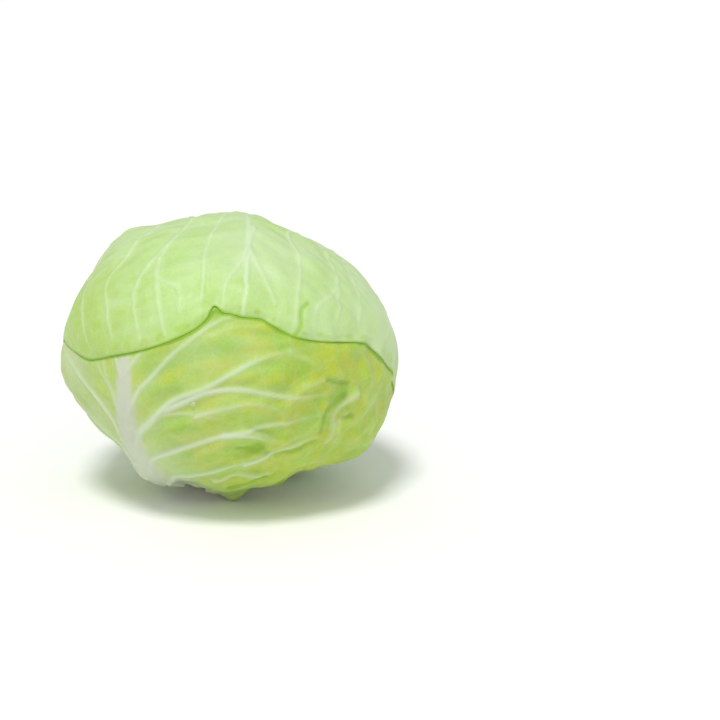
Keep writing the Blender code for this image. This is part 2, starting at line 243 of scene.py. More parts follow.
def leaf_net(leaf, rows, columns, crowding=1.0):
    """Unit vectors, rows from base to tip by columns from left margin to right, and their shares."""
    azimuth, base = leaf["azimuth"], base_polar(leaf["layer"])
    shares = np.linspace(0, 1, rows)
    outs = np.linspace(0, 1, columns + 1) ** crowding
    net = np.zeros((rows, 2 * columns + 1, 3))
    for side, sign in (("left", -1), ("right", 1)):
        wrap = leaf.get("wrap_" + side, 56)
        places = ((azimuth + sign * wrap, base), *leaf[side])
        margin = smooth_path(direction(*np.array(places, float).T))
        ends = at_shares(margin, shares)
        sideways = sign * np.cross([0, 0, 1], direction(azimuth, 90))
        ending = leaf.get("tip_" + side)
        if ending:
            tip = leaf_place(azimuth, np.array(leaf["tip"]), np.array(0.0))
            last = smooth_path(np.stack([tip, *direction(*np.array(ending, float).T), ends[-1]]), 160)
        for i, share in enumerate(shares):
            along = np.array([base + (leaf["tip"] - base) * share ** leaf["fan"]])
            start = leaf_place(azimuth, along, 0 * along)[0]
            forward = leaf_place(azimuth, along + 90, 0 * along)[0]
            square = math.exp(-((share / 0.12) ** 2)) + math.exp(-(((1 - share) / 0.06) ** 2))
            launch = SLANT + (math.pi / 2 - SLANT) * square
            heading = math.cos(launch) * forward + math.sin(launch) * sideways
            reach = 0.5 * math.acos(min(1.0, float(start @ ends[i])))
            control = start * math.cos(reach) + heading * math.sin(reach)
            t = np.linspace(0, 1, 60)[:, None]
            row = evenly(unit((1 - t) ** 2 * start + 2 * t * (1 - t) * control + t**2 * ends[i]), 60)
            row = at_shares(row, outs)
            if ending and share > TIP_PULL:
                pull = ((share - TIP_PULL) / (1 - TIP_PULL)) ** 2
                row = unit((1 - pull) * row + pull * at_shares(last, outs))
            net[i, columns + sign * np.arange(columns + 1)] = row
    return net, shares


print("leaves meet the stem at, degrees", [round(base_polar(leaf["layer"]), 1) for leaf in LEAVES.values()])

# %% [markdown]
# ## Veins
#
# On the outside of a cabbage leaf the veins stand up as soft pale cords. They could be painted, or
# sculpted one by one. Here each is a line through a few places on its leaf, and every point of the
# leaf is raised and paled by how near it is to the nearest one, so height and colour agree.


# %% Relief from lines on a leaf
def line_on_leaf(azimuth, places):
    along, across = np.array(places, float).T
    knots = leaf_place(azimuth, along, across)
    length = np.sum(np.linalg.norm(np.diff(knots, axis=0), axis=1)) * HEAD_RADIUS
    return smooth_path(knots, max(8, int(length / 0.0012)))


def off_line(ways, path):
    """How far each unit vector is from a line, in metres, and how far along the line that is."""
    flat = ways.reshape(-1, 3)
    nearest = np.zeros(len(flat), int)
    for first in range(0, len(flat), 20000):
        nearest[first:first + 20000] = np.argmax(flat[first:first + 20000] @ path.T, axis=1)
    tangents = unit(np.gradient(path, axis=0))
    away = flat - path[nearest]
    slide = np.sum(away * tangents[nearest], axis=1)
    inside = (nearest > 0) & (nearest < len(path) - 1)
    square = np.sum(away**2, axis=1) - np.where(inside, slide**2, 0)
    gap = np.sqrt(np.maximum(square, 0)) * HEAD_RADIUS
    return gap.reshape(ways.shape[:-1]), (nearest / (len(path) - 1)).reshape(ways.shape[:-1])


def raise_lines(ways, azimuth, lines, taper=0.6, end=0.08, finest=0.00135, fade=0.35):
    """Height of a leaf's veins, how pale they make it, their halo, and the distance to the nearest."""
    height, pale, halo = (np.zeros(ways.shape[:-1]) for _ in range(3))
    nearest = np.full(ways.shape[:-1], 0.05)
    for rise, width, places in lines:
        gap, share = off_line(ways, line_on_leaf(azimuth, places))
        narrow = np.maximum(width * (1 - 0.35 * share), finest)
        ending = np.clip((1 - share) / end, 0, 1)
        height = np.maximum(height, rise * bell(gap, narrow) * ending * (1 - taper * share))
        thin = np.maximum(width * (1 - 0.5 * share), 0.0012)
        colour = bell(gap, thin) * ending * (1 - fade * share)
        pale = np.maximum(pale, colour * min(1.0, rise / 0.0013))
        halo = np.maximum(halo, bell(gap, 3.6 * width) * (1 - 0.8 * share))
        nearest = np.minimum(nearest, gap)
    return height, pale, halo, nearest


# %% Random hills
def hills(places, seed, width=1.0, waves=18):
    """Smooth random hills and hollows of this width, mostly between -1 and 1."""
    random = np.random.default_rng(seed)
    total = np.zeros(places.shape[:-1])
    for _ in range(waves):
        heading = unit(random.normal(size=places.shape[-1]))
        total += np.cos(places @ heading * (math.pi / width) + random.uniform(0, 2 * math.pi))
    return total / math.sqrt(waves)


def smooth_step(value, low, high):
    t = np.clip((value - low) / (high - low), 0, 1)
    return t * t * (3 - 2 * t)


# %% Veins of the cap leaf
CAP_CRACKS = ((0.0008, 0.0008, ((257, -21), (250, -23), (244, -22.5), (239, -25))),)
CAP_VEINS = (  # height and half width at the start, then degrees along and across the leaf
    (0.0009, 0.0017, ((150, 0), (170, 6), (188, 11), (204, 13), (228, 14), (240, 12), (252, 10))),
    (0.0009, 0.0017, ((118, 0), (150, 9), (180, 19), (211, 25), (227, 28), (235, 29), (248, 26),
        (260, 21), (267, 18))),
    (0.0006, 0.0013, ((235, 29), (243, 27), (247, 19), (256, 16))),
    (0.0008, 0.0014, ((224, 27), (236, 32), (248, 34), (261, 30), (269, 27))),
    (0.0010, 0.0018, ((88, 0), (120, 12), (160, 27), (195, 36), (225, 43), (245, 47), (255, 44),
        (263, 41), (272, 37))),
    (0.0010, 0.0018, ((64, 0), (100, 18), (140, 38), (175, 52), (205, 59), (230, 61), (248, 59),
        (266, 54), (280, 47))),
    (0.0011, 0.0019, ((44, 0), (70, 18), (100, 38), (130, 55), (160, 67), (200, 74))),
    (0.0012, 0.0020, ((28, 0), (45, 14), (65, 32), (85, 48), (105, 62))),
    (0.0007, 0.0014, ((222, 0), (232, 1), (242, 4), (252, 3))),
    (0.0008, 0.0015, ((208, 0), (224, -1), (236, -8), (246, -14))),
    (0.0009, 0.0017, ((158, 0), (180, -9), (195, -14), (203, -13), (221, -19), (237, -20), (252, -21))),
    (0.0009, 0.0017, ((126, 0), (160, -13), (185, -25), (203, -30), (222, -35), (245, -36))),
    (0.0007, 0.0013, ((216, -34), (228, -34), (240, -28), (250, -28))),
    (0.0010, 0.0018, ((96, 0), (130, -14), (165, -30), (199, -39), (219, -45), (240, -46))),
    (0.0010, 0.0018, ((70, 0), (105, -20), (145, -42), (180, -56), (210, -62), (238, -60))),
    (0.0011, 0.0019, ((48, 0), (72, -18), (102, -38), (135, -56), (168, -70))),
    (0.0012, 0.0020, ((30, 0), (46, -14), (66, -32), (90, -50))),
)
print(len(CAP_VEINS), "veins on the cap leaf")

# %% Veins, creases and folds of the front leaf
FRONT_VEINS = (
    (0.0010, 0.0020, ((60, 0), (66, 2), (70, 4), (76, 7), (81, 11), (90, 17), (97, 22), (103, 26),
        (112, 33), (124, 42))),
    (0.0017, 0.0024, ((46, -2), (54, 2), (59, 5), (64, 10), (74, 19), (81, 30), (89, 38), (98, 46),
        (108, 55), (122, 64))),
    (0.0013, 0.0020, ((70, 16), (75, 24), (79, 30), (82, 39), (82, 47), (80, 58), (82, 69), (93, 79))),
    (0.0017, 0.0024, ((32, -1), (39, 2), (44, 5), (53, 19), (59, 33), (61, 42), (63, 50), (62, 61),
        (61, 71), (64, 80))),
    (0.0013, 0.0019, ((60, 36), (60, 41), (57, 47), (49, 52))),
    (0.0016, 0.0024, ((20, 0), (25, 4), (29, 8), (35, 23), (40, 34), (39, 43), (32, 48))),
    (0.0011, 0.0018, ((39, 40), (42, 52), (41, 62), (33, 69))),
    (0.0008, 0.0016, ((61, 8), (67, 13), (70, 25), (68, 35), (63, 42))),
    (0.0008, 0.0016, ((69, 27), (71, 31), (76, 44), (73, 53), (62, 62))),
    (0.0013, 0.0022, ((50, -6), (55, -7), (61, -9), (66, -14), (71, -22), (75, -29), (77, -35),
        (82, -46))),
    (0.0007, 0.0015, ((64, -3), (71, -4), (76, -7), (81, -9), (92, -13))),
    (0.0007, 0.0015, ((66, -3), (73, -6), (80, -12), (88, -18))),
    (0.0013, 0.0022, ((38, -7), (46, -13), (53, -25), (58, -40), (61, -56), (64, -74))),
    (0.0013, 0.0022, ((27, -6), (34, -14), (40, -28), (42, -44), (41, -60))),
    (0.0012, 0.0020, ((18, -4), (25, -14), (28, -26), (26, -40))),
    (0.0008, 0.0016, ((78, 0), (92, 8), (108, 18), (126, 28))),
    (0.0008, 0.0016, ((78, 0), (92, -8), (108, -20), (126, -32))),
)
FRONT_FOLDS = (
    (0.0022, 0.0026, ((86, 85), (58, 79), (49, 76), (37, 74), (28, 71), (24, 66))),
    (0.0016, 0.0022, ((33, 80), (33, 76), (28, 74), (20, 71))),
    (0.0024, 0.0028, ((28, 24), (31, 33), (30, 42), (22, 47))),
    (0.0012, 0.0022, ((60, 42), (58, 49), (52, 52), (49, 56), (49, 60), (46, 66))),
    (0.0012, 0.0026, ((106, 54), (106, 61), (104, 67))),
    (0.0012, 0.0022, ((88, 62), (95, 68), (101, 72), (110, 77))),
)
FRONT_CREASES = (
    (0.0016, 0.0014, ((98, 70), (100, 76), (104, 81))),
    (0.0014, 0.0022, ((51, 47), (42, 50), (39, 55), (36, 62), (32, 67))),
    (0.0014, 0.0020, ((52, 40), (46, 48), (36, 52))),
    (0.0018, 0.0022, ((79, 80), (66, 75), (60, 72), (50, 71), (34, 68))),
    (0.0012, 0.0016, ((63, 45), (60, 50), (56, 53))),
    (0.0014, 0.0016, ((20, 81), (30, 79), (36, 77))),
    (0.0022, 0.0028, ((20, 28), (23, 36), (18, 43))),
)
YELLOW_PATCHES = (  # azimuth and polar angle, then spread
    ((41, 99), 6), ((30, 89), 5), ((30, 54), 5), ((36, 64), 4), ((22, 40), 4), ((4, 64), 4),
)
FAIR_PATCHES = (  # the same, then how fair
    ((-64, 78), 20, 0.55), ((-52, 58), 16, 0.5), ((-6, 92), 12, 0.35), ((6, 98), 12, 0.3),
)
print("front leaf:", len(FRONT_VEINS), "veins,", len(FRONT_FOLDS), "folds,", len(FRONT_CREASES), "creases")

# %% [markdown]
# ## The height of each leaf at every point
#
# Between its veins a blade puffs outwards, and it ripples where it was squeezed as it grew. Each
# leaf's height is a function of direction alone, so the leaf above can ask how high this one is and
# lie down on it, as the cap leaf does near its margin.


# %% A midrib
def midrib(ways, azimuth, spine, widths):
    """Height of a midrib, flat-topped with soft shoulders, and where it is."""
    along, across = along_across(ways, azimuth)
    sideways = across - np.interp(along, *zip(*spine))
    span = np.abs(np.radians(sideways)) * HEAD_RADIUS / np.interp(along, *zip(*widths))
    here = along < spine[-1][0]
    return rib_height(along) * np.exp(-(span**3)) * here, np.exp(-(span**2.6)) * here, along, across


# %% Height and colour masks of the front leaf
FRONT_SPINE = ((0, -1), (20, -3), (32, -3.5), (45, -3), (57, -1.2), (69, 0.6), (78, 0.8), (85, 0.2),
               (120, 0), (170, 0))
FRONT_WIDTHS = ((0, 0.0150), (30, 0.0125), (45, 0.0108), (57, 0.0092), (69, 0.0072), (78, 0.0056),
                (86, 0.0044), (110, 0.0026), (154, 0.0014))
DEEPEST = 0.0007  # past this, a hollow stays clear of the leaf inside
CREASED = (44, 70)  # the place on the head round which the front leaf is most creased


def front_height(ways):
    """How far the front leaf stands over its smooth shell, and masks for its colours."""
    rib, mask, along, across = midrib(ways, -33, FRONT_SPINE, FRONT_WIDTHS)
    cords, pale, halo, gap = raise_lines(ways, -33, FRONT_VEINS, taper=0.45, end=0.3, finest=0.0018, fade=0.6)
    folds = raise_lines(ways, -33, FRONT_FOLDS, taper=0.3)[0]
    creases = raise_lines(ways, -33, FRONT_CREASES, taper=0.3)[0]
    lanes = np.stack([along - 0.45 * np.abs(across), across / 2.6], -1)
    inner_part = 1 - smooth_step(np.abs(across), 42, 62)
    near = bump(ways, CREASED, 46)
    lane_ripple = hills(lanes, 3, 7.5) + 0.5 * hills(lanes, 4, 3.6)
    crumple = 0.55 - 1.1 * np.abs(hills(ways, 5, 0.17)) + 0.35 * hills(ways, 6, 0.075)
    rumple = inner_part * (0.0005 + 0.0008 * near) * lane_ripple
    rumple += (0.0004 + 0.0018 * near * (1 - inner_part) + 0.0006 * near) * crumple
    puff = 0.0011 * (1 - bell(gap, 0.0070))
    soft = 1 - bell(gap, 0.004) * 0.6
    height = rib + cords + folds - creases + (puff + rumple * soft) * (1 - mask)
    height = np.where(height > -DEEPEST, height, -DEEPEST + 0.25 * (height + DEEPEST))
    blotches = inner_part * (0.42 * hills(lanes, 8, 6.0) + 0.30 * hills(lanes, 9, 2.6))
    blotches += (1 - inner_part) * (0.42 * hills(ways, 8, 0.12) + 0.30 * hills(ways, 9, 0.05))
    warm = 0.30 + blotches + 0.2 * near
    for place, spread in YELLOW_PATCHES:
        warm += 0.9 * bump(ways, place, spread)
    pale_base_and_ridge_highlight = 0.75 * np.exp(-((along / 66) ** 2) - (across / 24) ** 2)
    # Painted highlight: the raised folds are paler, partly their own whitish tissue and partly light caught
    # on their ridges.
    pale_base_and_ridge_highlight = np.maximum(pale_base_and_ridge_highlight, 0.55 * np.clip(folds / 0.0018, 0, 1))
    for place, spread, share in FAIR_PATCHES:
        pale_base_and_ridge_highlight = np.maximum(pale_base_and_ridge_highlight, share * bump(ways, place, spread))
    return height, dict(
        # Painted shade: the creases are coloured dark green where shade lies in them.
        vein=pale, rib=mask, halo=halo, dent=np.clip(creases / 0.0014, 0, 1),
        warm=np.clip(warm, 0, 1), root=np.clip(pale_base_and_ridge_highlight, 0, 1),
    )


# %% [markdown]
# ## Building a leaf
#
# A blade has two faces and an edge. A Solidify modifier could give it its thickness, but it would
# double the fine outer mesh where nobody looks. Here the inner face has a third as many rows and
# columns, and a strip of triangles closes the edge.


# %% Two faces and an edge
def add_object(name, data):
    """Puts a mesh, a light or a camera in the scene."""
    made = bpy.data.objects.new(name, data)
    bpy.context.scene.collection.objects.link(made)
    return made


def triangle_count(mesh):
    return sum(len(p.vertices) - 2 for p in mesh.polygons)


def grid_faces(points):
    """The quads of a grid of point numbers."""
    return np.stack([points[:-1, :-1], points[:-1, 1:], points[1:, 1:], points[1:, :-1]], -1).reshape(-1, 4)


def leaf_mesh(name, outer, inner):
    """A closed leaf from its fine outer face and its inner one, sampled three times as coarsely."""
    rows, columns = outer.shape[:2]
    few, thin = inner.shape[:2]
    fine = np.arange(rows * columns).reshape(rows, columns)
    rough = rows * columns + np.arange(few * thin).reshape(few, thin)
    faces = grid_faces(fine).tolist() + grid_faces(rough)[:, [0, 3, 2, 1]].tolist()
    for a, b in (
        (fine[0, ::-1], rough[0, ::-1]), (fine[:, 0], rough[:, 0]),
        (fine[-1], rough[-1]), (fine[::-1, -1], rough[::-1, -1]),
    ):
        for k in range(len(b) - 1):
            o = a[3 * k:3 * k + 4]
            strip = ((o[0], o[1], b[k]), (o[1], o[2], b[k]), (o[2], o[3], b[k + 1]), (o[2], b[k + 1], b[k]))
            faces += [tuple(map(int, corners)) for corners in strip]
    mesh = bpy.data.meshes.new(name)
    mesh.from_pydata(np.concatenate([outer.reshape(-1, 3), inner.reshape(-1, 3)]).tolist(), [], faces)
    mesh.shade_smooth()
    return add_object(name, mesh)


def keep_values(mesh, name, values):
    """Stores a number for each point, for a material or a node tree to read."""
    layer = mesh.attributes.new(name, "FLOAT", "POINT")
    layer.data.foreach_set("value", values.astype(np.float32))


def paint(piece, **masks):
    """Keeps masks on the leaf's outer points. The inner ones get 0."""
    for name, values in masks.items():
        inner = np.zeros(len(piece.data.vertices) - values.size)
        keep_values(piece.data, name, np.concatenate([values.ravel(), inner]))
    print("masks of", piece.name, *masks)


def off_edge(ways, net):
    """Distance of each unit vector from a net's side and tip margins, in metres."""
    edge = np.concatenate([net[:, 0], net[-1], net[::-1, -1]])[::2].T
    flat = ways.reshape(-1, 3)
    cosine = np.concatenate([(flat[k:k + 20000] @ edge).max(axis=1) for k in range(0, len(flat), 20000)])
    return np.arccos(np.clip(cosine, -1, 1)).reshape(ways.shape[:-1]) * HEAD_RADIUS


# %% One leaf from its net
def box_mm(points):
    return (1000 * points.min((0, 1))).round(1).tolist(), (1000 * points.max((0, 1))).round(1).tolist()


def build_leaf(name, net, radius, thickness, floor):
    """The finished piece, kept above this height."""
    outer = to_world(net * radius[..., None])
    outer[..., 2] = np.maximum(outer[..., 2], floor)
    inner = to_world(net * (radius - thickness)[..., None])[::3, ::3]
    inner[..., 2] = np.maximum(inner[..., 2], floor + 0.0007)
    piece = leaf_mesh(name, outer, inner)
    print(name, "triangles", triangle_count(piece.data), "box mm", *box_mm(outer))
    return piece


# %% The front leaf
BLADE = 0.0009  # thickness
front_net, front_shares = leaf_net(LEAVES["front_leaf"], 295, 141, crowding=1.1)
front_rise, front_masks = front_height(front_net)
front_edge = off_edge(front_net, front_net)
columns = np.linspace(-1, 1, front_net.shape[1])
shares = front_shares[:, None] * np.ones_like(columns)


def flare(centre, width, rise):
    """A lift of a stretch of the right margin, strongest at the very edge."""
    here = bell(shares - centre, width) * (columns > 0)
    return rise * here * np.clip((np.abs(columns) - 0.7) / 0.3, 0, 1) ** 2


front_radius = shell(front_net, 1) + front_rise * np.clip(front_edge / 0.004, 0.25, 1)
front_radius += flare(0.03, 0.025, 0.0035) + flare(0.08, 0.05, 0.0060)
front_radius += flare(0.17, 0.03, 0.0024)
front_radius += 0.0020 * np.exp(-((shares / 0.03) ** 2) - ((columns - 0.45) / 0.22) ** 2)
front_blade = BLADE + 0 * front_radius
front_piece = build_leaf("front_leaf_blade", front_net, front_radius, front_blade, 0.0004)

# %% Painted shade where the cap leaf's edge passes over it
cap_net = leaf_net(LEAVES["cap_leaf"], 331, 123)[0]
NOTCH = (-6.2, 107.5)  # where its margin is pointed
# Painted shade: a strip of dark green on the front leaf just under the cap leaf's edge, and a patch under its
# pointed notch, where the gap between the leaves lies in shade.
line_width = np.maximum(0.0015 + 0.0005 * hills(front_net, 40, 0.16), 0.0007)
gap_shade_line = np.exp(-((off_edge(front_net, cap_net) / line_width) ** 4))
front_masks["rim"] = np.maximum(gap_shade_line, bump(front_net, NOTCH, 1.3))
# Painted shade: the edge mask darkens the green along the margin, partly its own colour and partly the shade
# where it lies on the leaf beneath.
paint(front_piece, edge=bell(front_edge, 0.0012), **front_masks)
print("points of the green line under the cap leaf's edge", int((front_masks["rim"] > 0.5).sum()))

# %% [markdown]
# ## The cap leaf lies down on it
#
# Near its margin the cap leaf hugs the leaf beneath. It could be modelled apart and pressed on with
# a Shrinkwrap modifier, but that would flatten its own veins. Here its height near the margin is the
# front leaf's height plus a thin gap and its own thickness, and further in it goes back to the smooth
# ball, so its edge is a fine line, not a step; its green is painted shade on the leaf beneath.

# %% Relief of the cap leaf
CAP_SPINE = ((0, 0), (150, 0), (188, 5), (206, 2.5), (224, 0), (245, -3), (255, -4))
CAP_WIDTHS = ((0, 0.0130), (30, 0.0068), (60, 0.0041), (100, 0.0027), (150, 0.0021), (255, 0.0013))
cap_rib, cap_mask, cap_along, cap_across = midrib(cap_net, 180, CAP_SPINE, CAP_WIDTHS)
cap_cords, cap_pale, cap_halo, cap_gap = raise_lines(cap_net, 180, CAP_VEINS, taper=0.4, end=0.03)
cap_edge = off_edge(cap_net, cap_net)
cap_lanes = np.stack([cap_along - 0.45 * np.abs(cap_across), cap_across / 1.6], -1)
cap_middle = 1 - smooth_step(np.abs(cap_across), 40, 60)
cap_ripple = cap_middle * (hills(cap_lanes, 11, 8) + 0.5 * hills(cap_lanes, 12, 3.6))
cap_ripple += (1 - cap_middle) * (0.8 * hills(cap_net, 17, 0.16) + 0.4 * hills(cap_net, 18, 0.07))
cap_puff = 0.0007 * (1 - bell(cap_gap, 0.007)) + 0.00050 * cap_ripple
cap_crack = raise_lines(cap_net, 180, CAP_CRACKS, taper=0.2)[0]
cap_rise = cap_rib + 0.8 * cap_cords + cap_puff * (1 - cap_mask) - cap_crack
print("highest relief of the cap leaf, mm", round(1000 * float(cap_rise.max()), 1))

# %% The cap leaf
HUGGED = 0.011  # how far in from its edge it lies on the leaf beneath
high = shell(cap_net, 0) + cap_rise
thickness = BLADE - 0.0006 * bell(cap_edge, 0.003)
gap_below = 0.00005 + 0.0001 * np.maximum(hills(cap_net, 21, 0.075), 0)
low = shell(cap_net, 1) + front_height(cap_net)[0] + thickness + gap_below
low = low + 0.6 * cap_cords + 0.0004 * bump(cap_net, (-7, 108), 3.2)
hug = np.exp(-((cap_edge / HUGGED) ** 1.6))
cap_radius = np.maximum((1 - hug) * high + hug * low, low - 0.0001)
cap_piece = build_leaf("cap_leaf_blade", cap_net, cap_radius, thickness, 0.0)

# %% Colour masks of the cap leaf
cap_tone = cap_middle * (0.5 * hills(cap_lanes, 14, 7.0) + 0.4 * hills(cap_lanes, 15, 3.0))
cap_tone += (1 - cap_middle) * (0.5 * hills(cap_net, 19, 0.13) + 0.4 * hills(cap_net, 20, 0.05))
# Darker streaks a few millimetres in from the cap leaf's edge.
cap_margin_streaks = bell(cap_edge - 0.0035, 0.0022) * np.clip(hills(cap_net, 16, 0.045), 0, 1)
# Painted shade along the cap leaf's margin: the edge mask stands in for the dark line of shade under its
# edge, besides the margin's own deeper green.
paint(
    cap_piece, vein=np.maximum(cap_pale, 0.75 * cap_mask), halo=cap_halo,
    rib=cap_mask * np.clip(1.4 - cap_along / 130, 0, 1),
    # Near the stem the paleness is the leaf's own. The patch on the cap leaf's upper right is painted light,
    # paler on the side the light falls on.
    root=np.maximum(bump(cap_net, (0, 0), 50), 0.42 * bump(cap_net, (62, 124), 34)),
    # Painted shade: the cap leaf's small crack is coloured dark.
    edge=bell(cap_edge, 0.0012), dent=np.clip(cap_crack / 0.0007, 0, 1), rim=0 * cap_edge,
    warm=np.clip(
        # Darker yellow-green on the lower left of the cap leaf: partly its own patches, partly painted shade
        # on that side.
        1.1 * bump(cap_net, (-60, 86), 30) + 0.25 * bell(cap_edge, 0.014) + 0.35 * cap_tone
        + 0.7 * cap_margin_streaks, 0, 1,
    ),
)

# %% [markdown]
# ## The three leaves inside
#
# They show only round the stem, where each sends out its own thick midrib. Each could be drawn vein
# by vein like the first two, but little of them is seen, so their side veins follow one rule: evenly
# spaced up the midrib, each bending forwards to the margin.


# %% Inner leaves by rule
def rule_veins(count):
    """Side veins on both sides: height, half width, and degrees along and across the leaf."""
    veins = []
    for start in np.linspace(16, 118, count):
        for sign in (-1, 1):
            reach = np.array([0.0, 12, 26, 42, 58])
            veins.append((0.0011, 0.0019, list(zip(start + 0.55 * reach - 0.002 * reach**2, sign * reach))))
    return veins


inner_pieces = {}
for name in ("right_leaf", "left_leaf", "inner_leaf"):
    leaf = LEAVES[name]
    net = leaf_net(leaf, 121, 48)[0]
    rib, mask, along, across = midrib(net, leaf["azimuth"], ((0, 0), (300, 0)), CAP_WIDTHS)
    cords, pale, halo, gap = raise_lines(net, leaf["azimuth"], rule_veins(7))
    ripple = hills(np.stack([along, across / 1.7], -1), leaf["layer"] + 30, 8)
    rise = np.minimum(rib, 0.0013 + 0.6 * rib) + 0.7 * cords + 0.0003 * ripple * (1 - mask)
    edge = off_edge(net, net)
    radius = shell(net, leaf["layer"]) + rise * np.clip(edge / 0.004, 0.2, 1)
    lowest = 0.0004 + 0.001 * leaf["layer"]
    piece = build_leaf(name + "_blade", net, radius, BLADE + 0 * radius, lowest)
    # Darker green along the margin, partly the margin's own colour and partly painted shade.
    paint(
        piece, vein=pale, halo=halo, rib=mask, root=bump(net, (0, 0), 50),
        edge=bell(edge, 0.0015), dent=0 * edge, rim=0 * edge,
        warm=np.clip(0.3 + 0.3 * ripple, 0, 1),
    )
    inner_pieces[name] = piece

# %% [markdown]
# ## The heart
#
# Inside the outer leaves is the heart: dozens of leaves so tightly packed that only the edges of the
# last few show, winding round it. Modelling them one by one would fill the file with what nobody
# sees. A spiral of low steps follows the same rule, so Geometry Nodes cut it into a smooth body.


# %% Helpers for node trees
def set_inputs(tree, made, inputs):
    """Sets each input of a node to its value, or links it if that is a socket."""
    for key, value in dict(inputs).items():
        if isinstance(value, bpy.types.NodeSocket):
            tree.links.new(value, made.inputs[key])
        else:
            made.inputs[key].default_value = value


def node(tree, kind, inputs=(), **settings):
    """A new node with these settings and inputs."""
    made = tree.nodes.new(kind)
    for key, value in settings.items():
        setattr(made, key, value)
    set_inputs(tree, made, inputs)
    return made


def link_math(tree, operation, *values):
    """The result of a Math node. Each value is a number or a socket."""
    return node(tree, "ShaderNodeMath", enumerate(values), operation=operation).outputs[0]


# %% Start, end and result of a Geometry Nodes tree
def new_tree(name, inputs):
    """A tree with these named inputs, as (name, socket type, value), and its first and last nodes."""
    tree = bpy.data.node_groups.new(name, "GeometryNodeTree")
    tree.interface.new_socket("Geometry", in_out="INPUT", socket_type="NodeSocketGeometry")
    tree.interface.new_socket("Geometry", in_out="OUTPUT", socket_type="NodeSocketGeometry")
    for label, kind, value in inputs:
        socket = tree.interface.new_socket(label, in_out="INPUT", socket_type="NodeSocket" + kind)
        if kind != "Material":
            socket.default_value = value
    return tree, tree.nodes.new("NodeGroupInput").outputs, tree.nodes.new("NodeGroupOutput")


def close_tree(tree, geometry, material, end):
    """Ends a tree in Realize Instances and Set Material."""
    whole = node(tree, "GeometryNodeRealizeInstances", {"Geometry": geometry}).outputs[0]
    dressed = node(tree, "GeometryNodeSetMaterial", {"Geometry": whole, "Material": material}).outputs[0]
    tree.links.new(dressed, end.inputs["Geometry"])
    print(len(tree.nodes), "nodes in", tree.name)


def run_tree(name, mesh, tree, material):
    """The plain mesh that the tree makes of this one, as a new piece."""
    holder = add_object(name + "_source", mesh)
    modifier = holder.modifiers.new("grow", "NODES")
    modifier.node_group = tree
    for socket in tree.interface.items_tree:
        if socket.in_out == "INPUT" and socket.name == "Material":
            modifier[socket.identifier] = material
    evaluated = holder.evaluated_get(bpy.context.evaluated_depsgraph_get())
    made = bpy.data.meshes.new_from_object(evaluated)
    holder.modifiers.remove(modifier)
    bpy.data.objects.remove(holder)
    made.name = name
    print(name, "triangles", triangle_count(made))
    return add_object(name, made)


# %% The heart's smooth body
def shell_under_leaves(ways):
    return shell(ways, len(LEAVES)) - 0.0002


HEART_TURNS, HEART_RINGS = 168, 95
azimuths = np.linspace(0, 360, HEART_TURNS, endpoint=False)
polars = np.linspace(0, 180, HEART_RINGS + 2)[1:-1]
heart_ways = direction(*np.meshgrid(azimuths, polars)).reshape(-1, 3)
heart_ways = np.concatenate([heart_ways, [(0, 0, -1), (0, 0, 1)]])  # the two poles last
heart_points = to_world(heart_ways * shell_under_leaves(heart_ways)[:, None])
heart_points[:, 2] = np.maximum(heart_points[:, 2], len(LEAVES) * LAYER_PITCH)
rings = np.arange(HEART_RINGS * HEART_TURNS).reshape(HEART_RINGS, HEART_TURNS)
rings = np.concatenate([rings, rings[:, :1]], axis=1)
foot, crown = len(heart_ways) - 2, len(heart_ways) - 1
heart_faces = grid_faces(rings).tolist()
heart_faces += [(foot, b, a) for a, b in zip(rings[0].tolist(), rings[0, 1:].tolist())]
heart_faces += [(a, b, crown) for a, b in zip(rings[-1].tolist(), rings[-1, 1:].tolist())]
heart_mesh = bpy.data.meshes.new("heart_body")
heart_mesh.from_pydata(heart_points.tolist(), [], heart_faces)
keep_values(heart_mesh, "turn", np.arctan2(heart_ways[:, 0], -heart_ways[:, 1]) / (2 * math.pi))
keep_values(heart_mesh, "climb", np.arccos(np.clip(-heart_ways[:, 2], -1, 1)) / math.pi)
print("heart points", len(heart_ways))

# %% Steps that wind round it
wrap_tree, start, end = new_tree("wrap heart", (
    ("Leaves", "Int", 5), ("Winding", "Float", 3.4), ("Step", "Float", 0.0011), ("Ruffle", "Float", 0.45),
    ("Seed", "Int", 7), ("Material", "Material", None),
))
named = [
    node(wrap_tree, "GeometryNodeInputNamedAttribute", {"Name": label}, data_type="FLOAT")
    for label in ("turn", "climb")
]
turn, climb = (made.outputs["Attribute"] for made in named)
wave = node(wrap_tree, "ShaderNodeTexNoise", {"Scale": 26, "W": start["Seed"]}, noise_dimensions="4D")
ruffle = link_math(wrap_tree, "MULTIPLY", wave.outputs["Fac"], start["Ruffle"])
winding = link_math(wrap_tree, "MULTIPLY", climb, start["Winding"])
laps = link_math(wrap_tree, "ADD", link_math(wrap_tree, "MULTIPLY", turn, start["Leaves"]), winding)
phase = link_math(wrap_tree, "FRACT", link_math(wrap_tree, "ADD", laps, ruffle))
depth = link_math(wrap_tree, "MULTIPLY", link_math(wrap_tree, "SUBTRACT", phase, 1.0), start["Step"])
normal = node(wrap_tree, "GeometryNodeInputNormal").outputs[0]
push = node(wrap_tree, "ShaderNodeVectorMath", {0: normal, "Scale": depth}, operation="SCALE").outputs[0]
moved = node(wrap_tree, "GeometryNodeSetPosition", {"Geometry": start["Geometry"], "Offset": push}).outputs[0]
kept = node(
    wrap_tree, "GeometryNodeStoreNamedAttribute", {"Geometry": moved, "Name": "lap", "Value": phase},
    data_type="FLOAT", domain="POINT",
)
close_tree(wrap_tree, kept.outputs[0], start["Material"], end)

